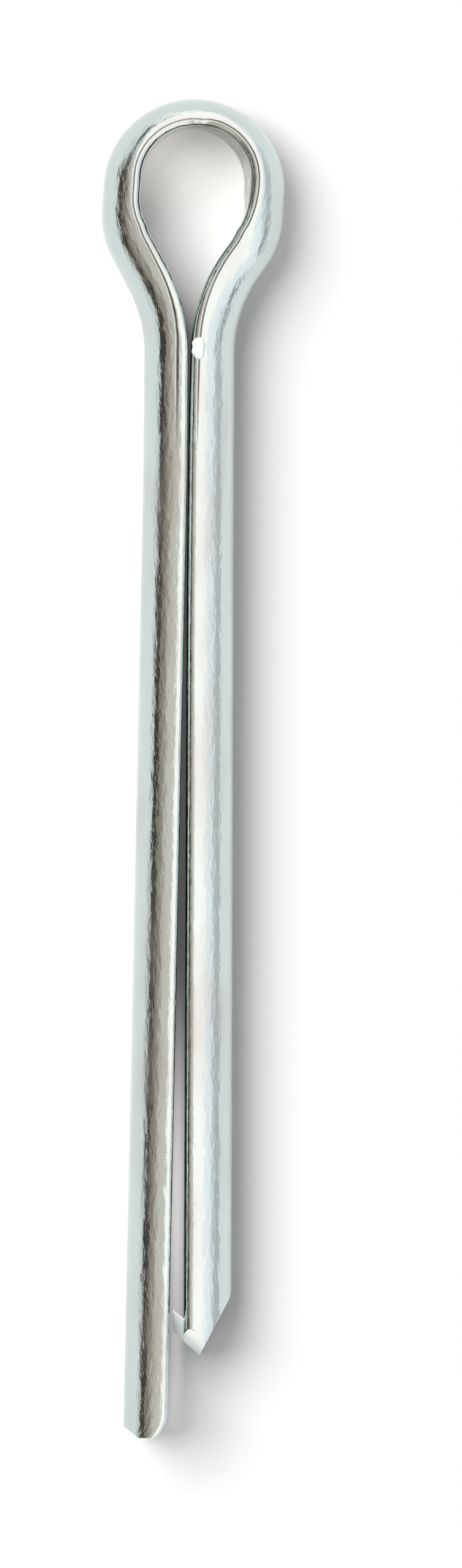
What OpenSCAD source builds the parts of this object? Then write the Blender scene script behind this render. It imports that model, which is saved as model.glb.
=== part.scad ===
// Split cotter pin: one length of half-round wire doubled back on itself, flats inside,
// with an open eye at the bend and one leg longer than the other.
// The pin lies flat. The origin is at the neck on the shank's axis, the eye is towards +Y,
// the legs run towards -Y, and the short leg is on the +X side.

/* [Wire] */
// Diameter of the closed shank, which is twice the wire's thickness
shank_d = 3.5; // [3.4:0.1:3.7]
// Gap left between the two flats where the legs are closed
seam_gap = 0.1; // [0.06:0.02:0.2]
// Radius on the two edges of the wire's flat
edge_r = 0.3; // [0.15:0.05:0.4]

/* [Eye] */
// Width over the eye
eye_w = 7; // [6.8:0.1:7.6]
// Width of the opening in the eye
eye_hole_w = 4.1; // [3.8:0.1:4.4]
// Thickness that the bending leaves in the wire at the top of the eye
crown_t = 1.1; // [0.9:0.05:1.3]
// Length of the two straight sides of the eye's outline
eye_side = 1; // [0.5:0.1:1.5]
// Length of the two straight sides of the opening
hole_side = 0.75; // [0.4:0.05:1.1]
// Angle, on each side of the eye's own axis, of the flanks that run down to the neck
flank_angle = 32; // [29:1:33]
// Angle at which the eye leans over towards the short leg
eye_lean = 3.3; // [0:0.1:3.9]
// How far the eye sits off the shank's axis, towards the short leg
eye_offset = 0.06; // [0:0.02:0.2]
// Bend radius of the round outer side at the neck
neck_r = 5.2; // [4.4:0.1:5.4]
// Bend radius of the flats where they close at the throat of the eye
throat_r = 6.2; // [5.4:0.1:7]

/* [Legs] */
// Length of the short leg, from the neck to its point
short_leg = 38.6; // [20:0.1:80]
// How much further the long leg reaches
leg_step = 3.2; // [2:0.1:4]
// Length of the stretch under the neck where the legs stay closed
closed_length = 4; // [3:0.5:10]
// Angle at which the short leg springs away from the shank's axis
short_spread = 0.35; // [0.3:0.05:3]
// Angle at which the long leg springs away from the shank's axis
long_spread = 0.7; // [0.3:0.05:3]
// Radius of the gentle bend where each leg leaves the closed stretch
spread_r = 100; // [90:10:160]

/* [Short leg's point] */
// Distance of the point from the shank's axis, across the leg
point_in = 0.5; // [0.3:0.05:0.9]
// Angle between the leg and the cut on its round side
outer_cut = 28; // [20:1:40]
// Angle between the leg and the cut on its flat side
inner_cut = 49; // [40:1:70]
// How far the cut faces lean back from upright
cut_lean = 17; // [5:1:25]
// Share of the gap between the legs that the sheared lip at the point reaches over
lip_share = 0.8; // [0.3:0.1:0.8]
// Thickness of that lip
lip_t = 0.08; // [0.06:0.02:0.16]

/* [Long leg's end] */
// Radius that rolls the flat side into the end
end_r = 1.6; // [1.2:0.1:1.8]
// How far the bevel on the round side reaches across the leg
bevel_across = 0.6; // [0.3:0.05:0.8]
// How far that bevel reaches up the leg
bevel_along = 0.4; // [0.2:0.05:0.6]

/* [Hidden] */
$fn = 96;

wire_r = shank_d / 2;
gap_half = seam_gap / 2;
// The outside is swept with its flat inside the gap, and the trim along the wall cuts it back.
body_flat = seam_gap / 4;
// Neighbouring pieces run on into each other a little way, and differ in size by a hair, so
// that they overlap and no two of their faces lie in the same place.
run_on = 0.05;
hair = 0.005;
// What a cutter reaches beyond the wire
spare = 0.3;
// Half the size of a block that clears the whole wire
block = 2 * shank_d;

// The outside of the eye and its opening are both round at the top and have straight sides and
// tapering flanks. The opening stands higher, so the wire is thinnest over the top.
body_arc_r = eye_w / 2 - wire_r;
body_neck_r = neck_r + wire_r;
hole_r = eye_hole_w / 2;
top_rise = eye_w / 2 - hole_r - crown_t;
low_rise = top_rise + eye_side - hole_side;

// How far the neck bend's centre lies under the centre of the eye's lower arc, when the flank
// between them slants by turn and touches an arc of radius arc_r, which is off the axis by e, and
// a bend of radius bend_r, which also touches the upright line at x
function drop(arc_r, bend_r, x, e, turn) =
    (arc_r + bend_r - cos(turn) * (x + bend_r - e)) / sin(turn);
// Length of the straight flank between that arc and that bend
function flank(arc_r, bend_r, x, e, turn) =
    drop(arc_r, bend_r, x, e, turn) * cos(turn) - (x + bend_r - e) * sin(turn);
// Length of the gentle bend that turns a leg by spread
function bend_length(spread) = spread_r * spread * PI / 180;

// Height above the neck of the centre of the outline's lower arcs
eye_y = drop(body_arc_r, body_neck_r, 0, 0, flank_angle);

// The rounded edge is a row of short flats that stops short of level, so that the last one
// meets the wire's round side at a clear angle.
edge_turn = 75;
edge_steps = 5;
edge_z = sqrt(pow(wire_r - edge_r, 2) - pow(gap_half + edge_r, 2));
edge = [for (i = [0:edge_steps]) let (a = edge_turn * i / edge_steps)
    [edge_r * (1 - cos(a)), edge_z + edge_r * sin(a)]];
// How far the trim reaches to each side of the wall
trim_in = wire_r - crown_t + spare;
trim_out = 3 * edge_r;
trim_rise = edge[edge_steps][1] + (trim_out - edge[edge_steps][0]) / tan(edge_turn);
trim_top = wire_r + spare;

// The lip lies in line with the cut on the flat side, from this far along the cut to that, both
// counted back from the point. It is as high as the flat.
tip_gap = seam_gap + (short_leg - closed_length) * (sin(short_spread) + sin(long_spread));
lip_root = (point_in - gap_half) / sin(inner_cut) - spare;
lip_end = lip_root + spare + lip_share * tip_gap / sin(inner_cut);
lip_foot = (wire_r - edge_z) / cos(cut_lean);
lip_height = 2 * edge_z / cos(cut_lean);

// The rolled corner of the long leg's end leaves the flat almost smoothly, at the first angle,
// and meets the end at the second. Its centre lies this far in from the flat and up the leg.
flat_turn = 8;
end_turn = 45;
roll_in = end_r * cos(flat_turn);
roll_up = end_r * sin(end_turn);

// Profiles are drawn with +X towards the wire's round side and Y for the height.
// The round half of the wire, from the shank's axis
module wire_profile(slim = 0) {
    intersection() {
        circle(r = wire_r - slim);
        translate([body_flat, -block]) square(2 * block);
    }
}

// What the wall at x = 0 leaves open, with both edges of the wall rounded off
module trim_profile(grow = 0) {
    upper = concat([for (p = edge) [p[0] + grow, p[1] - grow]],
        [[trim_out, trim_rise - grow], [trim_out, trim_top], [-trim_in, trim_top]]);
    last = len(upper) - 1;
    polygon(concat(upper, [for (i = [0:last]) [upper[last - i][0], -upper[last - i][1]]]));
}

// The wire as it is in the shank, with its flat half a gap from the axis
module leg_profile(slim = 0) {
    difference() {
        wire_profile(slim);
        translate([gap_half, 0]) trim_profile(slim);
    }
}

// A straight piece that runs along -Y from y = 0
module straight(length) {
    rotate([90, 0, 0]) linear_extrude(length) children();
}

// A bend about the origin from +X round to the angle turn, at radius r
module bend(turn, r) {
    extra = run_on / r * 180 / PI;
    rotate([0, 0, -extra]) rotate_extrude(angle = turn + 2 * extra) translate([r, 0]) children();
}

// One side of the eye swept down from the end of the arc over the top: side, lower arc, flank
// and neck. The profile's x = 0 follows a line that ends upright at x. The arcs' lower centre is
// at [e, arc_y], and the two children are the profiles of a straight and of a bend.
module eye_sweep(arc_r, side, e, arc_y, lean, bend_r, x) {
    turn = flank_angle + lean;
    translate([e, arc_y, 0]) {
        rotate([0, 0, -lean]) translate([arc_r, side, 0]) straight(side) children(0);
        rotate([0, 0, -turn]) {
            bend(flank_angle, arc_r) children(1);
            translate([arc_r, 0, 0]) straight(flank(arc_r, bend_r, x, e, turn)) children(0);
        }
    }
    translate([x + bend_r, arc_y - drop(arc_r, bend_r, x, e, turn), 0])
        rotate([0, 0, 180 - turn]) bend(turn, bend_r) mirror([1, 0]) children(1);
}

// One side of the wire: half of the eye, the closed stretch, a gentle bend and the leg. The eye
// lies off the axis by e and leans by lean, both towards this side. The children are what is cut
// away at the end of the leg.
module wire_side(e, lean, spread, length) {
    turn = flank_angle + lean;
    hole_e = e + low_rise * sin(lean);
    hole_y = eye_y + low_rise * cos(lean);
    neck_y = eye_y - drop(body_arc_r, body_neck_r, 0, e, turn);
    throat_y = hole_y - drop(hole_r, throat_r, gap_half, hole_e, turn);
    close_y = min(neck_y, throat_y) - 4 * run_on;
    // The outside comes first and is then trimmed to its flat.
    difference() {
        union() {
            eye_sweep(body_arc_r, eye_side, e, eye_y, lean, body_neck_r, 0) {
                wire_profile();
                wire_profile(2 * hair);
            }
            translate([0, neck_y, 0]) straight(neck_y - close_y) wire_profile(hair);
        }
        eye_sweep(hole_r, hole_side, hole_e, hole_y, lean, throat_r, gap_half) {
            trim_profile();
            trim_profile(hair);
        }
        translate([gap_half, throat_y, 0])
            straight(throat_y - close_y + run_on) trim_profile(2 * hair);
    }
    translate([0, close_y + run_on, 0])
        straight(close_y + run_on + closed_length) leg_profile();
    translate([spread_r, -closed_length, 0]) rotate([0, 0, 180])
        bend(spread, spread_r) mirror([1, 0]) leg_profile(hair);
    difference() {
        in_leg(spread) straight(length - closed_length - bend_length(spread)) leg_profile();
        at_end(spread, length) children();
    }
}

// The frame of a leg, where it leaves its gentle bend, with the leg along -Y
module in_leg(spread) {
    translate([spread_r, -closed_length, 0]) rotate([0, 0, spread])
        translate([-spread_r, 0, 0]) children();
}

// The same frame moved to the end of a leg
module at_end(spread, length) {
    in_leg(spread) translate([0, closed_length + bend_length(spread) - length, 0]) children();
}

// All that lies beyond an upright cut through the origin. At turn = 0 the cut is square
// across the leg, and it leans back from its foot by lean.
module beyond(turn, lean = 0) {
    rotate([0, 0, turn]) rotate([-lean, 0, 0]) translate([-block, -2 * block, -block])
        cube(2 * block);
}

// Three cut faces meet in the short leg's point, at the foot of the wire
module short_point() {
    translate([point_in, 0, -wire_r]) {
        beyond(0, cut_lean);
        beyond(inner_cut - 90, cut_lean);
        beyond(90 - outer_cut);
    }
}

// The lip that the shears pressed out from the short leg's flat, over the gap
module short_lip() {
    translate([point_in, 0, -wire_r]) rotate([0, 0, inner_cut - 90]) rotate([-cut_lean, 0, 0])
        translate([-lip_end, hair, lip_foot]) cube([lip_end - lip_root, lip_t, lip_height]);
}

// The long leg ends square, bevelled on the round side and rolled over on the flat side
module long_end() {
    beyond(0);
    translate([wire_r, bevel_along, 0]) beyond(atan2(bevel_along, bevel_across));
    translate([gap_half, 0, -block]) linear_extrude(2 * block) difference() {
        translate([-block, -block]) square([block + roll_in, block + roll_up]);
        translate([roll_in, roll_up]) circle(r = end_r);
    }
}

// The arc over the top of the eye, down to the straight sides of the outline
module crown() {
    translate([eye_offset, eye_y, 0]) rotate([0, 0, -eye_lean]) translate([0, eye_side, 0])
        difference() {
            bend(180, body_arc_r) wire_profile(hair);
            translate([0, top_rise, 0]) bend(180, hole_r) trim_profile();
            for (side = [0, 1]) mirror([side, 0, 0])
                translate([hole_r, top_rise, 0]) straight(top_rise + block) trim_profile(hair);
        }
}

module split_pin() {
    color("gainsboro") {
        crown();
        wire_side(eye_offset, eye_lean, short_spread, short_leg) short_point();
        at_end(short_spread, short_leg) short_lip();
        mirror([1, 0, 0])
            wire_side(-eye_offset, -eye_lean, long_spread, short_leg + leg_step) long_end();
    }
}

split_pin();
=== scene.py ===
import math

import bmesh
import bpy
from mathutils import Matrix, Vector, noise


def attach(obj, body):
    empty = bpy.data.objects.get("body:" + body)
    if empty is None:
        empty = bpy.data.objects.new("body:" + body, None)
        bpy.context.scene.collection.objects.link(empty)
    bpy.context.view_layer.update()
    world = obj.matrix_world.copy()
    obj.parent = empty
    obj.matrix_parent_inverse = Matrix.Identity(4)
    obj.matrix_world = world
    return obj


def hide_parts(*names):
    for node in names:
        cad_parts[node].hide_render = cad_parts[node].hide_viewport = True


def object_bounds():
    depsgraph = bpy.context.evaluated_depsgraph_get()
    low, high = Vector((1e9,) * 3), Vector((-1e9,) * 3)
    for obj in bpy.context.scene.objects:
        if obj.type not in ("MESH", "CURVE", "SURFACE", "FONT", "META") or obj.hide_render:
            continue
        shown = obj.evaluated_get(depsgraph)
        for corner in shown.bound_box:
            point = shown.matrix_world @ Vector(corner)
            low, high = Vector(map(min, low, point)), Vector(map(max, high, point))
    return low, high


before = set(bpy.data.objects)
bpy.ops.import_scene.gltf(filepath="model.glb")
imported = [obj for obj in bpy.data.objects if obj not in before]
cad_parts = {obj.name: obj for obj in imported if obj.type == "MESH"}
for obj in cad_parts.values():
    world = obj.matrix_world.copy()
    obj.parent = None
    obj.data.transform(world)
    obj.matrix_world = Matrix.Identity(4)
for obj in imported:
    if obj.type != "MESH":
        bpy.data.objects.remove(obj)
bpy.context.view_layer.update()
print("frame loaded:", sorted(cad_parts))

mm = 0.001  # sizes below are in millimetres, the scene is in metres


def srgb(hexText):
    # an sRGB hex colour as linear RGBA
    parts = [int(hexText[i:i + 2], 16) / 255 for i in (1, 3, 5)]
    return [c / 12.92 if c <= 0.04045 else ((c + 0.055) / 1.055) ** 2.4 for c in parts] + [1.0]


def addNode(tree, kind, settings=None, links=None):
    # a node with its settings, and its sockets set or linked from other nodes' sockets
    node = tree.nodes.new(kind)
    for name, value in (settings or {}).items():
        setattr(node, name, value)
    for name, value in (links or {}).items():
        socket = node.inputs[name]
        if isinstance(value, bpy.types.NodeSocket):
            tree.links.new(value, socket)
        else:
            socket.default_value = value
    return node


def emptyTree(owner):
    owner.use_nodes = True
    owner.node_tree.nodes.clear()
    return owner.node_tree


def meshObject(name, bm, material):
    mesh = bpy.data.meshes.new(name)
    bm.to_mesh(mesh)
    bm.free()
    mesh.materials.append(material)
    obj = bpy.data.objects.new(name, mesh)
    bpy.context.scene.collection.objects.link(obj)
    return obj


# the wire, in millimetres and degrees: first the solid's own sizes, then what changes slowly along
# the wire, as pairs of a place up the pin (its Y) and the value there, from the crown down
wire = {
    "shankDiameter": 3.5,
    "seamGap": 0.1,           # between the two flats
    "eyeWidth": 7,
    "eyeHoleWidth": 4.1,
    "crownThickness": 1.1,
    "eyeSide": 1,             # the straight sides of the eye's outline
    "holeSide": 0.75,         # the straight sides of the opening
    "flankAngle": 32,
    "eyeLean": 3.3,           # towards the short leg
    "eyeOffset": 0.06,        # off the shank's axis, towards the short leg
    "neckRadius": 5.2,
    "throatRadius": 6.2,
    "closedLength": 4,        # under the neck, where the legs stay together
    "spreadRadius": 100,      # of the gentle bend below it
    "shortLeg": 38.6,
    "longLeg": 41.8,
    "shortSpread": 0.35,
    "longSpread": 0.7,
    # twist about the wire's own axis; below zero the flat turns up to the light
    "shortRoll": [(8.035, 0), (8.01, -2), (7.92, -4.3), (7.7, -6), (7.2, -7), (6.3, -6), (5.4, -2),
                  (4.6, -0.4), (3.4, 0), (0.6, 0), (-1.7, 2), (-10, 5), (-36, 7.3)],
    "longRoll": [(0, 0), (-1, 0)],
    # radius on the flat's two edges
    "shortEdge": [(9.7, 0.38), (8.6, 0.33), (6, 0.32), (0, 0.34), (-3, 0.37), (-36, 0.41)],
    "longEdge": [(9.7, 0.38), (8.6, 0.32), (6, 0.3), (0, 0.2)],
    # how far the fine die line lies from the flat
    "shortGroove": [(9, 0.28), (4, 0.25), (0, 0.34)],
    "longGroove": [(9, 0.28), (4, 0.28), (0, 0.43)],
    "ringStep": 0.22,         # between rings along the straights
    "endStep": 0.08,          # between rings near a leg's end
    "endStretch": 1.4,        # how far up from a leg's end they stay that close
    "ringTurn": 2.5,          # between rings in a bend
    "arcSteps": 56,           # points round the wire's outside
    "edgeSteps": 8,           # points round each rounded edge
    "flatSteps": 8,           # points across the flat
    "plainEdge": 0.3,         # edge radius of the section whose girth the pattern is measured on
    "sharpAngle": 32,         # of edges that stay crisp in the smooth shading
}

wireR = wire["shankDiameter"] / 2
gapHalf = wire["seamGap"] / 2
arcR = wire["eyeWidth"] / 2 - wireR
holeR = wire["eyeHoleWidth"] / 2
rise = wire["eyeWidth"] / 2 - holeR - wire["crownThickness"] + wire["eyeSide"] - wire["holeSide"]


def drop(arc, bend, x, e, turn):
    # how far the neck bend's centre lies under the centre of the eye's lower arc
    return (arc + bend - math.cos(turn) * (x + bend - e)) / math.sin(turn)


def legLength(spread, length):
    # what is left of a leg's straight below its gentle bend
    return length - wire["closedLength"] - wire["spreadRadius"] * math.radians(spread)


def arcStations(centre, radius, fromDeg, toDeg, side=1):
    # points on an arc with their outward normals
    turn = abs(toDeg - fromDeg)
    length = radius * math.radians(turn)
    steps = max(1, math.ceil(turn / wire["ringTurn"]), math.ceil(length / wire["ringStep"]))
    out = []
    for i in range(steps):
        a = math.radians(fromDeg + (toDeg - fromDeg) * i / steps)
        d = Vector((math.cos(a), math.sin(a)))
        out.append((centre + d * radius, d * side))
    return out


def lineStations(start, end, normal, step=wire["ringStep"]):
    steps = max(1, math.ceil((end - start).length / step))
    return [(start.lerp(end, i / steps), normal) for i in range(steps)]


def sideLine(arc, side, e, arcY, lean, bend, x, spread, length):
    # one side of the pin from the top of the eye to the leg's end, as points and outward normals
    turn = wire["flankAngle"] + lean
    t, a, s = math.radians(turn), math.radians(lean), math.radians(spread)
    neck = Vector((x + bend, arcY - drop(arc, bend, x, e, t)))
    low = Vector((e, arcY))
    top = low + Vector((math.sin(a), math.cos(a))) * side
    sideWay = Vector((math.cos(a), -math.sin(a)))
    flankWay = Vector((math.cos(t), -math.sin(t)))
    foot = Vector((x, -wire["closedLength"]))
    centre = Vector((wire["spreadRadius"], -wire["closedLength"]))
    legWay = Vector((math.sin(s), -math.cos(s)))
    legOut = Vector((math.cos(s), math.sin(s)))
    legTop = centre - legOut * (wire["spreadRadius"] - x)
    legEnd = legTop + legWay * legLength(spread, length)
    line = arcStations(top, arc, 90 - lean, -lean)
    line += lineStations(top + sideWay * arc, low + sideWay * arc, sideWay)
    line += arcStations(low, arc, -lean, -turn)
    line += lineStations(low + flankWay * arc, neck - flankWay * bend, flankWay)
    line += arcStations(neck, bend, 180 - turn, 180, -1)
    line += lineStations(Vector((x, neck.y)), foot, Vector((1, 0)))
    line += arcStations(centre, wire["spreadRadius"] - x, 180, 180 + spread, -1)
    nearEnd = legEnd - legWay * wire["endStretch"]
    line += lineStations(legTop, nearEnd, legOut)
    line += lineStations(nearEnd, legEnd, legOut, wire["endStep"])
    line.append((legEnd, legOut))
    return line


def wallDistance(point, normal, wall):
    # how far the flat lies from the section's centre, out along the normal: where the normal
    # crosses the flat's line, which may lie a little inside the centre
    parallel, slack, mostInside = 1e-9, 1e-6, 0.5
    for (p, _), (q, _) in zip(wall, wall[1:]):
        d = q - p
        det = normal.x * d.y - normal.y * d.x
        if abs(det) < parallel:
            continue
        r = p - point
        away = (r.x * d.y - r.y * d.x) / det
        along = (r.x * normal.y - r.y * normal.x) / det
        if -slack <= along <= 1 + slack and -mostInside < away < wireR:
            return away
    return gapHalf


def between(points, value):
    # a value read off a list of (place, value), with the places falling
    for (p, a), (q, b) in zip(points, points[1:]):
        if value >= q:
            return a + (b - a) * max(0, (p - value) / (p - q))
    return points[-1][1]


def sideStations(e, lean, spread, length, roll, edge, groove, flatAt):
    # stations (point, outward normal, distance of the flat, twist, edge radius, die line's place)
    eyeY = drop(arcR, wire["neckRadius"] + wireR, 0, 0, math.radians(wire["flankAngle"]))
    a = math.radians(lean)
    body = sideLine(arcR, wire["eyeSide"], e, eyeY, lean, wire["neckRadius"] + wireR, 0, spread, length)
    wall = sideLine(holeR, wire["holeSide"], e + rise * math.sin(a), eyeY + rise * math.cos(a), lean,
                    wire["throatRadius"], gapHalf, spread, length)
    end = body[-1][0]
    out = []
    for p, n in body:
        flat = max(wallDistance(p, n, wall), flatAt((end - p).length))
        twist = math.radians(between(roll, p.y))
        out.append((p, n, flat, twist, between(edge, p.y), between(groove, p.y)))
    return out


def ringPoints(point, normal, flat, twist, r):
    # one closed cross-section: the flat, a rounded edge, the round side, the other rounded edge;
    # and how far each of its points lies from the flat
    cx = flat + r
    cz = math.sqrt((wireR - r) ** 2 - cx ** 2)
    meet = math.atan2(cz, cx)
    flatPart = [(flat, -cz + 2 * cz * i / wire["flatSteps"]) for i in range(wire["flatSteps"])]
    upper = []
    for i in range(wire["edgeSteps"]):
        a = math.pi + (meet - math.pi) * i / wire["edgeSteps"]
        upper.append((cx + r * math.cos(a), cz + r * math.sin(a)))
    roundPart = []
    for i in range(wire["arcSteps"] + 1):
        a = meet - 2 * meet * i / wire["arcSteps"]
        roundPart.append((wireR * math.cos(a), wireR * math.sin(a)))
    lower = [(x, -z) for x, z in reversed(upper)]
    section = flatPart + upper + roundPart + lower[:-1]
    c, s = math.cos(twist), math.sin(twist)
    turned = [(x * c - z * s, z * c + x * s) for x, z in section]
    places = [(point.x + normal.x * x, point.y + normal.y * x, z) for x, z in turned]
    return places, [x - flat for x, z in section]


def endFrame(spread, length, mirror):
    # the place and turn of a leg's end
    turn = math.radians(spread)
    centre = Vector((wire["spreadRadius"], -wire["closedLength"], 0))
    out = Vector((math.cos(turn), math.sin(turn), 0))
    way = Vector((math.sin(turn), -math.cos(turn), 0))
    origin = centre - out * wire["spreadRadius"] + way * legLength(spread, length)
    flip = Matrix.Diagonal((-1 if mirror else 1, 1, 1))
    spin = flip @ Matrix.Rotation(turn, 3, "Z")
    return flip @ origin, spin


def cutLeg(bm, origin, spin, point, normal, side):
    # a plane cut through the end of one leg, closed with one face. It reaches a little past the
    # pin's axis and a few millimetres up, so the other leg is left alone.
    past, up = 0.2 * mm, (origin.y + 6) * mm
    co = (origin + spin @ Vector(point)) * mm
    no = (spin @ Vector(normal)).normalized()
    near = [f for f in bm.faces if all(side * v.co.x > -past and v.co.y < up for v in f.verts)]
    # each vertex and edge once, in the same order each run
    verts = list(dict.fromkeys(v for f in near for v in f.verts))
    edges = list(dict.fromkeys(e for f in near for e in f.edges))
    done = bmesh.ops.bisect_plane(bm, geom=verts + edges + near, dist=1e-8,
                                  plane_co=co, plane_no=no, clear_outer=True)
    rim = [g for g in done["geom_cut"] if isinstance(g, bmesh.types.BMEdge) and g.is_boundary]
    if rim:
        for face in bmesh.ops.edgeloop_fill(bm, edges=rim)["faces"]:
            face.material_index = 1


# the short leg's sheared point, in millimetres and degrees
shortPoint = {
    "in": 0.5,                # across the leg, from the centre of its round side
    "outerCut": 28,           # between the leg and the cut on its round side
    "innerCut": 49,           # between the leg and the cut on its flat side
    "lean": 9.5,              # from the cut's foot to its top edge
    # facets that roll the top edge in: how far each leans, and how far back its plane meets the
    # wire's top, as a share of how far the lean brings it back
    "rolledIn": [(58, 1.1), (44, 0.9), (28, 0.7)],
}

# the long leg's end, in millimetres and degrees
longEnd = {
    "rollRadius": 1.6,        # of the corner on the flat side
    "flatTurn": 8,            # degrees at which the roll leaves the flat
    "endTurn": 45,            # degrees at which it meets the end
    "bevelAcross": 0.6,
    "bevelAlong": 0.4,
}


def shortCuts():
    # three shear cuts that meet in the point, and the two that the shears came down on are rolled
    # in at the top
    foot = (shortPoint["in"], 0, -wireR)
    reach = 2 * wireR * math.tan(math.radians(shortPoint["lean"]))
    inner, outer = shortPoint["innerCut"] - 90, 90 - shortPoint["outerCut"]
    cuts = []
    for turnDeg, rolled in ((0, True), (inner, True), (outer, False)):
        a = math.radians(turnDeg)
        out = Vector((math.sin(a), -math.cos(a), 0))
        cuts.append((foot, out))
        if rolled:
            for lean, share in shortPoint["rolledIn"]:
                b = math.radians(lean)
                top = Vector(foot) - out * reach * share + Vector((0, 0, 2 * wireR))
                cuts.append((top, out * math.cos(b) + Vector((0, 0, math.sin(b)))))
    return cuts


def longCuts():
    # the square end and the bevel on the round side
    bevel = (longEnd["bevelAlong"], -longEnd["bevelAcross"], 0)
    return [((0, 0, 0), (0, -1, 0)), ((wireR, longEnd["bevelAlong"], 0), bevel)]


def rolledFlat(up):
    # distance of the long leg's flat at a height above its end, where its corner is rolled over
    r = longEnd["rollRadius"]
    rollUp = r * math.sin(math.radians(longEnd["endTurn"]))
    rollIn = r * math.cos(math.radians(longEnd["flatTurn"]))
    if up >= rollUp:
        return gapHalf
    return gapHalf + max(0, rollIn - math.sqrt(r * r - (rollUp - up) ** 2))


def makeWire(material, cutMaterial):
    # rings swept from the short leg's end over the eye to the long leg's, then cut to their ends
    short = sideStations(wire["eyeOffset"], wire["eyeLean"], wire["shortSpread"], wire["shortLeg"],
                         wire["shortRoll"], wire["shortEdge"], wire["shortGroove"], lambda up: gapHalf)
    long = sideStations(-wire["eyeOffset"], -wire["eyeLean"], wire["longSpread"], wire["longLeg"],
                        wire["longRoll"], wire["longEdge"], wire["longGroove"], rolledFlat)
    stations = list(reversed(short))
    stations += [(Vector((-p.x, p.y)), Vector((-n.x, n.y)), *rest) for p, n, *rest in long[1:]]
    bm = bmesh.new()
    uvs = bm.loops.layers.uv.new("wireRun")    # mm along and around the wire
    rims = bm.loops.layers.uv.new("edgeRun")   # mm along, and distance from the flat over the line's
    rings, runs, offs, run, last = [], [], [], 0.0, None
    for p, n, *rest, groove in stations:
        if last is not None:
            run += (p + n - last).length
        last = p + n
        runs.append(run)
        places, fromFlat = ringPoints(p, n, *rest)
        rings.append([bm.verts.new(Vector(v) * mm) for v in places])
        offs.append([x / groove for x in fromFlat])
    count = len(rings[0])
    girth = [0.0]
    shank = ringPoints(Vector((0, 0)), Vector((1, 0)), gapHalf, 0, wire["plainEdge"])[0]
    for i in range(count):
        girth.append(girth[-1] + (Vector(shank[(i + 1) % count]) - Vector(shank[i])).length)
    for k in range(len(rings) - 1):
        for i in range(count):
            j = (i + 1) % count
            face = bm.faces.new((rings[k][i], rings[k][j], rings[k + 1][j], rings[k + 1][i]))
            around = (girth[i], girth[i + 1], girth[i + 1], girth[i])
            along = (runs[k], runs[k], runs[k + 1], runs[k + 1])
            inFrom = (offs[k][i], offs[k][j], offs[k + 1][j], offs[k + 1][i])
            for loop, u, v, w in zip(face.loops, along, around, inFrom):
                loop[uvs].uv = (u, v)
                loop[rims].uv = (u, w)
    bm.faces.new(rings[0])
    bm.faces.new(list(reversed(rings[-1])))
    bmesh.ops.recalc_face_normals(bm, faces=bm.faces[:])
    shortOrigin, shortSpin = endFrame(wire["shortSpread"], wire["shortLeg"], False)
    longOrigin, longSpin = endFrame(wire["longSpread"], wire["longLeg"], True)
    for point, normal in shortCuts():
        cutLeg(bm, shortOrigin, shortSpin, point, normal, 1)
    for point, normal in longCuts():
        cutLeg(bm, longOrigin, longSpin, point, normal, -1)
    obj = meshObject("pinWire", bm, material)
    obj.data.materials.append(cutMaterial)
    return obj


# a thin bright zinc plate over drawn wire: a clear mirror across the wire, broken by fine lines
# and small pits that the drawing left along it. Sizes are in mm. A pattern's first pair is its
# grain along and across the wire, and its From is the noise between which it comes in.
plate = {
    "colour": "#ccd8d6",
    "dullColour": "#c6cbc9",
    "roughness": 0.11,
    "dullRoughness": 0.24,
    "line": (5.0, 0.08),       # the real ones are too fine to show, so they are drawn coarser
    "lineDepth": 0.0016,
    "pit": (0.24, 0.1),
    "pitDepth": 0.018,
    "rub": (0.05, 1.6),        # faint rubs across the wire, from the bending tool
    "rubDepth": 0.002,
    "rubFrom": (0.68, 0.8),
    "patch": (2.4, 0.8),       # the duller patches
    "patchFrom": (0.45, 0.7),
    "dieLineWidth": 0.2,       # as a share of the line's distance from the flat
    "dieLineDepth": 0.018,
    "dieLineRun": (6.0, 40.0),    # how long it runs before it fades and comes back
    "dieLineFrom": (0.25, 0.4),
    "dieLineEnd": (-1.0, -4.0),   # places up the pin between which it fades out for good
    "dieLineShade": "#4d4a45",   # painted shade in the groove
    "dieLineShadeShare": 0.85,          # how much of that shows
    "flatColour": "#645b45",   # the flat inside the crown's right half, coloured brownish
    "flatEdge": (0.2, 0.04),   # where the flat begins, as shares of the die line's distance from it
    "thinSpot": (0.7, 1.1),    # the spots in which the flat is brownish
    "thinFrom": (0.38, 0.56),
    "thinLeast": 0.5,          # how much of the brown shows between the spots
    "thinX": (-0.4, 0.2),      # where the brown starts and where it is full, across the pin and up it
    "thinY": (4.2, 5.6),
    # how much fine detail each pattern's noise has, and where in the noise it starts
    "grains": [("line", 2, 3.1), ("pit", 2, 17.7), ("rub", 1, 41.3), ("patch", 2, 63.9),
               ("dieLineRun", 1, 88.2), ("thinSpot", 2, 29.4)],
}


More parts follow.
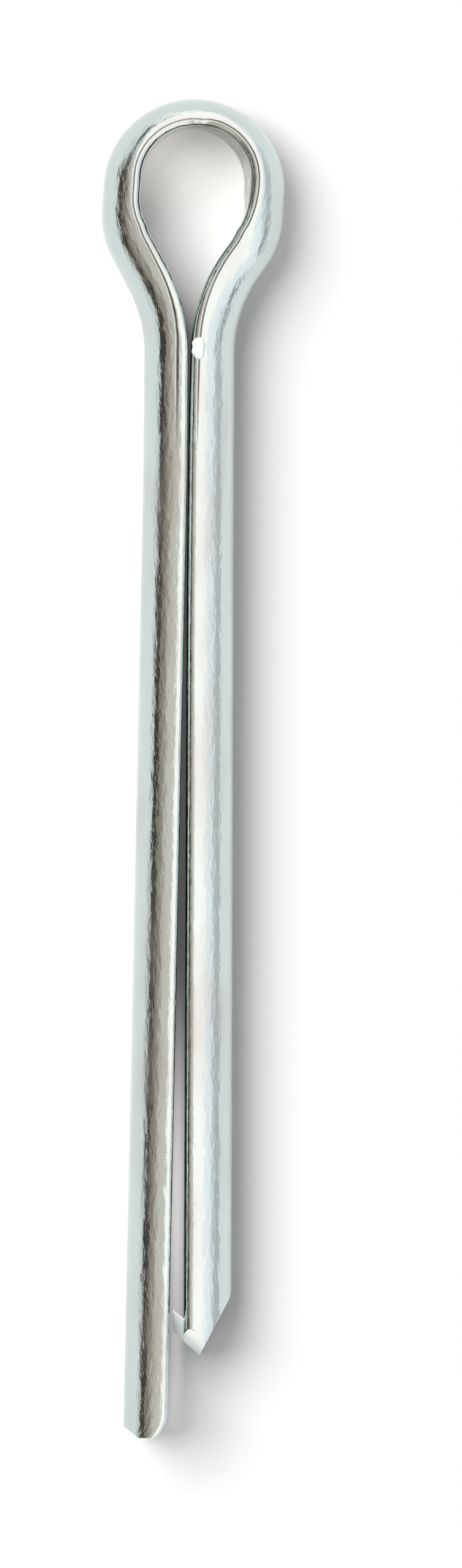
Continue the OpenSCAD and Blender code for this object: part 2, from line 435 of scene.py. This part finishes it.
def zincPlatedWire():
    material = bpy.data.materials.new("zincPlatedDrawnWire")
    tree = emptyTree(material)
    run = addNode(tree, "ShaderNodeUVMap", {"uv_map": "wireRun"})
    rim = addNode(tree, "ShaderNodeUVMap", {"uv_map": "edgeRun"})
    fromFlat = addNode(tree, "ShaderNodeSeparateXYZ", links={"Vector": rim.outputs["UV"]}).outputs["Y"]
    place = addNode(tree, "ShaderNodeTexCoord").outputs["Object"]
    pinPlace = addNode(tree, "ShaderNodeSeparateXYZ", links={"Vector": place})

    # each pattern's noise, stretched to its grain; a grain is half a unit of noise
    grain = {}
    for name, detail, start in plate["grains"]:
        along, across = plate[name]
        spread = addNode(tree, "ShaderNodeMapping", links={
            "Vector": run.outputs["UV"], "Location": (start, start, start),
            "Scale": (0.5 / along, 0.5 / across, 1)})
        cloud = addNode(tree, "ShaderNodeTexNoise", links={
            "Vector": spread.outputs["Vector"], "Scale": 1.0, "Detail": detail, "Roughness": 0.5})
        grain[name] = cloud.outputs["Fac"]
    rubs = addNode(tree, "ShaderNodeMapRange", links={
        "Value": grain["rub"], "From Min": plate["rubFrom"][0], "From Max": plate["rubFrom"][1]})
    dull = addNode(tree, "ShaderNodeMapRange", links={
        "Value": grain["patch"], "From Min": plate["patchFrom"][0], "From Max": plate["patchFrom"][1]})

    # the die line: a fine groove along each edge of the flat, that comes and goes
    offLine = addNode(tree, "ShaderNodeMath", {"operation": "SUBTRACT"}, {0: fromFlat, 1: 1.0})
    away = addNode(tree, "ShaderNodeMath", {"operation": "ABSOLUTE"}, {0: offLine.outputs["Value"]})
    dip = addNode(tree, "ShaderNodeMapRange", {"interpolation_type": "SMOOTHSTEP"}, {
        "Value": away.outputs["Value"], "From Max": plate["dieLineWidth"], "To Min": -1.0, "To Max": 0.0})
    comes = addNode(tree, "ShaderNodeMapRange", links={
        "Value": grain["dieLineRun"],
        "From Min": plate["dieLineFrom"][0], "From Max": plate["dieLineFrom"][1]})
    inEye = addNode(tree, "ShaderNodeMapRange", links={
        "Value": pinPlace.outputs["Y"],
        "From Min": plate["dieLineEnd"][1] * mm, "From Max": plate["dieLineEnd"][0] * mm})
    stays = addNode(tree, "ShaderNodeMath", {"operation": "MULTIPLY"}, {
        0: comes.outputs["Result"], 1: inEye.outputs["Result"]})
    dieLine = addNode(tree, "ShaderNodeMath", {"operation": "MULTIPLY"}, {
        0: dip.outputs["Result"], 1: stays.outputs["Value"]})

    normal = None
    for height, depth in ((grain["line"], "lineDepth"), (grain["pit"], "pitDepth"),
                          (rubs.outputs["Result"], "rubDepth"), (dieLine.outputs["Value"], "dieLineDepth")):
        links = {"Height": height, "Strength": 1.0, "Distance": plate[depth] * mm}
        if normal:
            links["Normal"] = normal
        normal = addNode(tree, "ShaderNodeBump", links=links).outputs["Normal"]

    # the brownish colour on the flat that shows inside the crown
    onFlat = addNode(tree, "ShaderNodeMapRange", links={
        "Value": fromFlat, "From Min": plate["flatEdge"][0], "From Max": plate["flatEdge"][1]})
    spots = addNode(tree, "ShaderNodeMapRange", links={
        "Value": grain["thinSpot"], "To Min": plate["thinLeast"],
        "From Min": plate["thinFrom"][0], "From Max": plate["thinFrom"][1]})
    thin = addNode(tree, "ShaderNodeMath", {"operation": "MULTIPLY"}, {
        0: onFlat.outputs["Result"], 1: spots.outputs["Result"]})
    for axis in "XY":
        start, end = plate["thin" + axis]
        there = addNode(tree, "ShaderNodeMapRange", links={
            "Value": pinPlace.outputs[axis], "From Min": start * mm, "From Max": end * mm})
        thin = addNode(tree, "ShaderNodeMath", {"operation": "MULTIPLY"}, {
            0: thin.outputs["Value"], 1: there.outputs["Result"]})

    # painted shade darkens the colour along the die line
    grooveShade = addNode(tree, "ShaderNodeMath", {"operation": "MULTIPLY"}, {
        0: dieLine.outputs["Value"], 1: -plate["dieLineShadeShare"]})
    colour = srgb(plate["colour"])
    for share, name in ((dull.outputs["Result"], "dullColour"), (grooveShade.outputs["Value"], "dieLineShade"),
                        (thin.outputs["Value"], "flatColour")):
        colour = addNode(tree, "ShaderNodeMix", {"data_type": "RGBA"}, {
            0: share, 6: colour, 7: srgb(plate[name])}).outputs[2]
    roughness = addNode(tree, "ShaderNodeMapRange", links={
        "Value": dull.outputs["Result"], "To Min": plate["roughness"], "To Max": plate["dullRoughness"]})
    shader = addNode(tree, "ShaderNodeBsdfPrincipled", links={
        "Base Color": colour, "Metallic": 1.0, "Roughness": roughness.outputs["Result"], "Normal": normal})
    addNode(tree, "ShaderNodeOutputMaterial", links={"Surface": shader.outputs["BSDF"]})
    return material


# steel that the shears tore and the plate then covered: paler and more matt than the drawn side,
# so it scatters some of the light, with drag marks down the cut
cut = {
    "colour": "#eff6f4",
    "metallic": 0.3,
    "roughness": 0.4,
    "drag": 0.1,               # mm between drag marks
    "dragDepth": 0.004,        # mm
    "dragTurn": (0.3, 0, 0.5),       # radians that the marks are turned from the pin's axes
    "dragShape": (0.5, 0.12, 0.12),  # units of noise in one drag distance, across them and along
}


def shearCutSteel():
    material = bpy.data.materials.new("shearCutPlatedSteel")
    tree = emptyTree(material)
    where = addNode(tree, "ShaderNodeTexCoord")
    place = addNode(tree, "ShaderNodeMapping", links={
        "Vector": where.outputs["Object"], "Rotation": cut["dragTurn"],
        "Scale": [units / (cut["drag"] * mm) for units in cut["dragShape"]]})
    marks = addNode(tree, "ShaderNodeTexNoise", links={
        "Vector": place.outputs["Vector"], "Scale": 1.0, "Detail": 3.0})
    bump = addNode(tree, "ShaderNodeBump", links={
        "Height": marks.outputs["Fac"], "Strength": 1.0, "Distance": cut["dragDepth"] * mm})
    shader = addNode(tree, "ShaderNodeBsdfPrincipled", links={
        "Base Color": srgb(cut["colour"]), "Metallic": cut["metallic"], "Roughness": cut["roughness"],
        "Normal": bump.outputs["Normal"]})
    addNode(tree, "ShaderNodeOutputMaterial", links={"Surface": shader.outputs["BSDF"]})
    return material


def finishPiece(piece, sharpAngle):
    # smooth shading, and the piece tied to the part
    for face in piece.data.polygons:
        face.use_smooth = True
    piece.data.set_sharp_from_angle(angle=math.radians(sharpAngle))
    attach(piece, "root")


platedWire = zincPlatedWire()
cutSteel = shearCutSteel()
pin = makeWire(platedWire, cutSteel)
finishPiece(pin, wire["sharpAngle"])
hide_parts("split_pin")
print("wire made:", len(pin.data.polygons), "faces")


# the thin fin of metal that the shears pressed out of the short leg's flat, over the gap: it
# thins towards its free edge, which is a little ragged
shearLip = {
    "share": 0.82,            # of the gap between the legs that it reaches over
    "lean": 33,               # degrees
    "rise": 0.62,             # mm from its foot to its top edge, as seen from above
    "foot": 2.25,             # mm from the wire's underside
    "thickness": 0.08,        # mm at its root
    "thinning": 0.6,          # share of that lost at the free edge
    "sunk": 0.3,              # mm that its root reaches into the leg
    "clear": 0.005,           # mm that it stands back from the cut face
    "shortening": 0.98,       # of its reach, round which the free edge wavers
    "waver": 0.02,
    "waverStep": 0.45,        # in units of noise from row to row
    "waverStart": (3.7, 1.3),     # where in the noise the waver starts
    "columns": 10,
    "rows": 24,
    "sharpAngle": 50,
}


def makeLip():
    innerCut = math.radians(shortPoint["innerCut"])
    lean = math.radians(shearLip["lean"])
    gap = wire["seamGap"] + (wire["shortLeg"] - wire["closedLength"]) * (
        math.sin(math.radians(wire["shortSpread"])) + math.sin(math.radians(wire["longSpread"])))
    root = (shortPoint["in"] - gapHalf) / math.sin(innerCut) - shearLip["sunk"]
    end = root + shearLip["sunk"] + shearLip["share"] * gap / math.sin(innerCut)
    height = shearLip["rise"] / math.sin(lean)
    origin, spin = endFrame(wire["shortSpread"], wire["shortLeg"], False)
    place = Matrix.Rotation(innerCut - math.pi / 2, 3, "Z") @ Matrix.Rotation(-lean, 3, "X")
    start = Vector((shortPoint["in"], 0, shearLip["foot"] - wireR))
    columns, rows = shearLip["columns"], shearLip["rows"]
    bm = bmesh.new()
    sheets = []
    for back in (0, 1):
        sheet = []
        for i in range(columns + 1):
            line = []
            for k in range(rows + 1):
                out = i / columns
                z = height * k / rows
                wave = Vector((k * shearLip["waverStep"], *shearLip["waverStart"]))
                ragged = shearLip["waver"] * noise.noise(wave) * out
                straight = z * math.sin(lean) / math.tan(innerCut)
                x = -root - (end + straight - root) * out * (shearLip["shortening"] + ragged)
                y = shearLip["clear"] + back * shearLip["thickness"] * (1 - shearLip["thinning"] * out ** 3)
                local = start + place @ Vector((x, y, z))
                line.append(bm.verts.new((origin + spin @ local) * mm))
            sheet.append(line)
        sheets.append(sheet)
    front, rear = sheets
    for sheet in sheets:
        for i in range(columns):
            for k in range(rows):
                bm.faces.new((sheet[i][k], sheet[i + 1][k], sheet[i + 1][k + 1], sheet[i][k + 1]))
    rim = [(i, 0) for i in range(columns)] + [(columns, k) for k in range(rows)]
    rim += [(i, rows) for i in range(columns, 0, -1)] + [(0, k) for k in range(rows, 0, -1)]
    for (a, b), (c, d) in zip(rim, rim[1:] + rim[:1]):
        bm.faces.new((front[a][b], front[c][d], rear[c][d], rear[a][b]))
    bmesh.ops.recalc_face_normals(bm, faces=bm.faces[:])
    return meshObject("shearLip", bm, cutSteel)


lip = makeLip()
finishPiece(lip, shearLip["sharpAngle"])
print("shear lip made")

# a blob of plating that built up on the short leg's seam edge at the neck, as matt and pale as
# the cuts
bead = {
    "centre": (0.35, 0.17, 1.52),   # mm
    "radii": (0.27, 0.5, 0.29),     # mm
    "lumps": 0.16,                  # how high they stand, as a share of its radius
    "lumpScale": 1.7,               # units of noise to a radius
    "lumpStart": (4.2, 1.1, 7.5),   # where in the noise they start
    "waist": 0.2,                   # share of its radius lost round its middle
    "waistAt": 0.05,                # as shares of half its length
    "waistWidth": 0.22,
    "waistReach": 0.5,              # how far out from its centre, as a share of its radius
    "sharpAngle": 60,
}


def makeBead():
    bm = bmesh.new()
    bmesh.ops.create_icosphere(bm, subdivisions=4, radius=1)
    for v in bm.verts:
        dent = math.exp(-((v.co.y - bead["waistAt"]) / bead["waistWidth"]) ** 2)
        waist = 1 - bead["waist"] * dent * (v.co.x < bead["waistReach"])
        swell = 1 + bead["lumps"] * noise.noise(v.co * bead["lumpScale"] + Vector(bead["lumpStart"]))
        # the dent takes nothing off its length
        v.co = Vector([c + r * swell * share * p for c, r, share, p in zip(
            bead["centre"], bead["radii"], (waist, 1, waist), v.co)]) * mm
    return meshObject("platingBead", bm, cutSteel)


blob = makeBead()
finishPiece(blob, bead["sharpAngle"])
print("plating bead made")


studio = {
    "floorSize": 2.0,             # metres
    "paper": "#e7e7e6",
    "paperGlow": (0.052, 0.05, 0.049),   # what the paper shows where no light falls on it
    "fill": 0.3,                  # even light from all round, on matt surfaces
    "key": 0.92,                  # the broad lamp's share on the floor
    "keyFrom": 148,               # degrees round from +X
    "keyHeight": 57,              # degrees above the floor
    "keyWidth": 46,               # degrees across
    "viewCentre": (1.737, -16.6),   # mm, what the middle of the frame looks at
    "viewTurn": 0.5,              # degrees that the frame is turned
    "frameHeight": 60.45,         # mm of the object's plane that the frame takes in
    "cameraHeight": 600,          # mm above the wire's middle
    "sensorHeight": 36,
    "clip": (0.01, 20),           # metres
}

# what stands round the table, as the pin mirrors it: each panel has its centre, half sizes, turn
# in degrees, soft edges, colour and brightness, and a later one stands before those above it.
# Places are on a half-dome seen from above, where 0.7 from the middle is level with the table.
room = {"colour": "#f9fbf9", "level": 0.92}
panels = [
    ("rightScreen", (0.645, -0.05), (0.07, 0.45), -8, (0.07, 0.2), "#d4d7d7", 1.0),
    ("backScreen", (0.42, 0.5), (0.2, 0.16), 40, (0.14, 0.14), "#dcdfe2", 1.0),
    ("softbox", (0.15, 0.05), (0.3, 0.8), 18, (0.05, 0.1), "#fff5f1", 1.55),
    ("softboxSide", (0.46, 0.05), (0.08, 0.8), 10, (0.05, 0.1), "#f4f4f8", 1.32),
    ("frontWall", (-0.27, -0.5), (0.3, 0.43), 0, (0.08, 0.06), "#d8d2bf", 0.92),
    ("leftWall", (-0.385, -0.12), (0.215, 0.36), 8, (0.05, 0.12), "#f2e6dc", 0.96),
    ("leftCorner", (-0.5, -0.08), (0.12, 0.3), 12, (0.09, 0.15), "#ab9d91", 0.92),
    ("leftFlag", (-0.575, -0.05), (0.05, 0.26), 12, (0.02, 0.08), "#574e48", 0.7),
    ("leftSky", (-0.855, -0.11), (0.2, 0.55), 12, (0.03, 0.1), "#f2f5f6", 0.95),
    ("backFlag", (-0.46, 0.34), (0.032, 0.24), -24, (0.018, 0.08), "#2c302f", 1.0),
    ("backFlagEnd", (-0.28, 0.545), (0.026, 0.12), -58, (0.018, 0.06), "#3a3e3d", 1.0),
    ("rightStand", (0.63, -0.25), (0.016, 0.2), -11, (0.02, 0.1), "#8d9093", 1.0),
]

# patches of painted light on the paper, which lift its shade by the crown, round the eye and by the tips:
# centre and half widths in mm, and how much light each adds to the paper's glow
paintedLightPools = [
    ("byCrown", (-1.3, 7.8), (2.7, 2.7), 0.24),
    ("aroundEye", (1.2, 5.8), (6.5, 5.5), 0.13),
    ("betweenTips", (-0.2, -33.0), (0.55, 10.0), 0.5),
    ("byLongTip", (-0.6, -41.2), (2.4, 3.2), 0.17),
]


def makeFloor():
    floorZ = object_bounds()[0][2]
    half = studio["floorSize"] / 2
    bm = bmesh.new()
    corners = [(-half, -half), (half, -half), (half, half), (-half, half)]
    bm.faces.new([bm.verts.new((x, y, floorZ)) for x, y in corners])
    # matt white paper, which looks white to the camera and in the metal without lighting the pin
    material = bpy.data.materials.new("whitePaper")
    tree = emptyTree(material)
    path = addNode(tree, "ShaderNodeLightPath")
    seen = addNode(tree, "ShaderNodeMath", {"operation": "MAXIMUM"}, {
        0: path.outputs["Is Camera Ray"], 1: path.outputs["Is Glossy Ray"]})
    matt = addNode(tree, "ShaderNodeBsdfDiffuse", links={"Color": srgb(studio["paper"])})
    place = addNode(tree, "ShaderNodeNewGeometry").outputs["Position"]
    lit = 1.0
    # the patches of painted light, added to the paper's glow where it lies in shade
    for name, (x, y), (across, along), level in paintedLightPools:
        inGlow = addNode(tree, "ShaderNodeMapping", {"vector_type": "TEXTURE", "label": name}, {
            "Vector": place, "Location": (x * mm, y * mm, floorZ), "Scale": (across * mm, along * mm, 1)})
        far = addNode(tree, "ShaderNodeVectorMath", {"operation": "LENGTH"}, {
            "Vector": inGlow.outputs["Vector"]})
        soft = addNode(tree, "ShaderNodeMapRange", {"interpolation_type": "SMOOTHSTEP"}, {
            "Value": far.outputs["Value"], "To Min": level / studio["paperGlow"][1], "To Max": 0.0})
        lit = addNode(tree, "ShaderNodeMath", {"operation": "ADD"}, {
            0: soft.outputs["Result"], 1: lit}).outputs["Value"]
    strength = addNode(tree, "ShaderNodeMath", {"operation": "MULTIPLY"}, {
        0: seen.outputs["Value"], 1: lit})
    glow = addNode(tree, "ShaderNodeEmission", links={
        "Color": (*studio["paperGlow"], 1), "Strength": strength.outputs["Value"]})
    both = addNode(tree, "ShaderNodeAddShader", links={
        0: matt.outputs["BSDF"], 1: glow.outputs["Emission"]})
    addNode(tree, "ShaderNodeOutputMaterial", links={"Surface": both.outputs["Shader"]})
    meshObject("floor", bm, material)


def makeWorld():
    world = bpy.data.worlds.new("softStudio")
    bpy.context.scene.world = world
    tree = emptyTree(world)
    way = addNode(tree, "ShaderNodeTexCoord").outputs["Generated"]
    up = addNode(tree, "ShaderNodeSeparateXYZ", links={"Vector": way}).outputs["Z"]
    # the half-dome's own places: the way divided by the root of 2 (1 + up), and a hair more, so
    # that straight down isn't divided by nothing
    twice = addNode(tree, "ShaderNodeMath", {"operation": "MULTIPLY_ADD"}, {0: up, 1: 2.0, 2: 2.0001})
    root = addNode(tree, "ShaderNodeMath", {"operation": "SQRT"}, {0: twice.outputs["Value"]})
    inverse = addNode(tree, "ShaderNodeMath", {"operation": "DIVIDE"}, {0: 1.0, 1: root.outputs["Value"]})
    place = addNode(tree, "ShaderNodeVectorMath", {"operation": "SCALE"}, {
        "Vector": way, "Scale": inverse.outputs["Value"]}).outputs["Vector"]
    seen = [c * room["level"] for c in srgb(room["colour"])]
    for name, centre, half, turn, soft, hexText, level in panels:
        inPanel = addNode(tree, "ShaderNodeMapping", {"vector_type": "TEXTURE", "label": name}, {
            "Vector": place, "Location": (*centre, 0),
            "Rotation": (0, 0, math.radians(turn)), "Scale": (*half, 1)})
        out = addNode(tree, "ShaderNodeVectorMath", {"operation": "ABSOLUTE"}, {
            0: inPanel.outputs["Vector"]})
        sides = addNode(tree, "ShaderNodeSeparateXYZ", links={"Vector": out.outputs["Vector"]})
        covers = [addNode(tree, "ShaderNodeMapRange", {"interpolation_type": "SMOOTHSTEP"}, {
            "Value": sides.outputs[axis], "From Min": 1 + edge / size, "From Max": 1 - edge / size})
            for axis, edge, size in zip("XY", soft, half)]
        cover = addNode(tree, "ShaderNodeMath", {"operation": "MULTIPLY"}, {
            0: covers[0].outputs["Result"], 1: covers[1].outputs["Result"]})
        mixed = addNode(tree, "ShaderNodeMix", {"data_type": "RGBA"}, {
            0: cover.outputs["Value"], 6: seen, 7: [c * level for c in srgb(hexText)]})
        seen = mixed.outputs[2]
    path = addNode(tree, "ShaderNodeLightPath")
    mirrored = addNode(tree, "ShaderNodeBackground", links={"Color": seen, "Strength": 1.0})
    even = addNode(tree, "ShaderNodeBackground", links={"Color": (1, 1, 1, 1), "Strength": studio["fill"]})
    white = addNode(tree, "ShaderNodeBackground", links={"Color": (1, 1, 1, 1), "Strength": 1.0})
    forMetal = addNode(tree, "ShaderNodeMixShader", links={
        0: path.outputs["Is Glossy Ray"], 1: even.outputs["Background"], 2: mirrored.outputs["Background"]})
    forView = addNode(tree, "ShaderNodeMixShader", links={
        0: path.outputs["Is Camera Ray"], 1: forMetal.outputs["Shader"], 2: white.outputs["Background"]})
    addNode(tree, "ShaderNodeOutputWorld", links={"Surface": forView.outputs["Shader"]})


def makeKey():
    # a broad soft lamp from the far left, which throws the soft shadow to the right
    data = bpy.data.lights.new("keyLamp", "SUN")
    height = math.radians(studio["keyHeight"])
    data.energy = studio["key"] * math.pi / math.sin(height)
    data.angle = math.radians(studio["keyWidth"])
    lamp = bpy.data.objects.new("keyLamp", data)
    around = math.radians(studio["keyFrom"])
    level = math.cos(height)
    towards = Vector((math.cos(around) * level, math.sin(around) * level, math.sin(height)))
    lamp.rotation_euler = towards.to_track_quat("Z", "Y").to_euler()
    lamp.visible_glossy = False
    bpy.context.scene.collection.objects.link(lamp)


def makeCamera():
    data = bpy.data.cameras.new("camera")
    data.sensor_fit = "VERTICAL"
    data.sensor_height = studio["sensorHeight"]
    data.lens = studio["sensorHeight"] * studio["cameraHeight"] / studio["frameHeight"]
    data.clip_start, data.clip_end = studio["clip"]
    camera = bpy.data.objects.new("camera", data)
    camera.location = [v * mm for v in (*studio["viewCentre"], studio["cameraHeight"])]
    camera.rotation_euler = (0, 0, math.radians(studio["viewTurn"]))
    bpy.context.scene.collection.objects.link(camera)
    bpy.context.scene.camera = camera


makeFloor()
makeWorld()
makeKey()
makeCamera()
bpy.context.scene.view_settings.view_transform = "Standard"
print("stage, light and camera set")
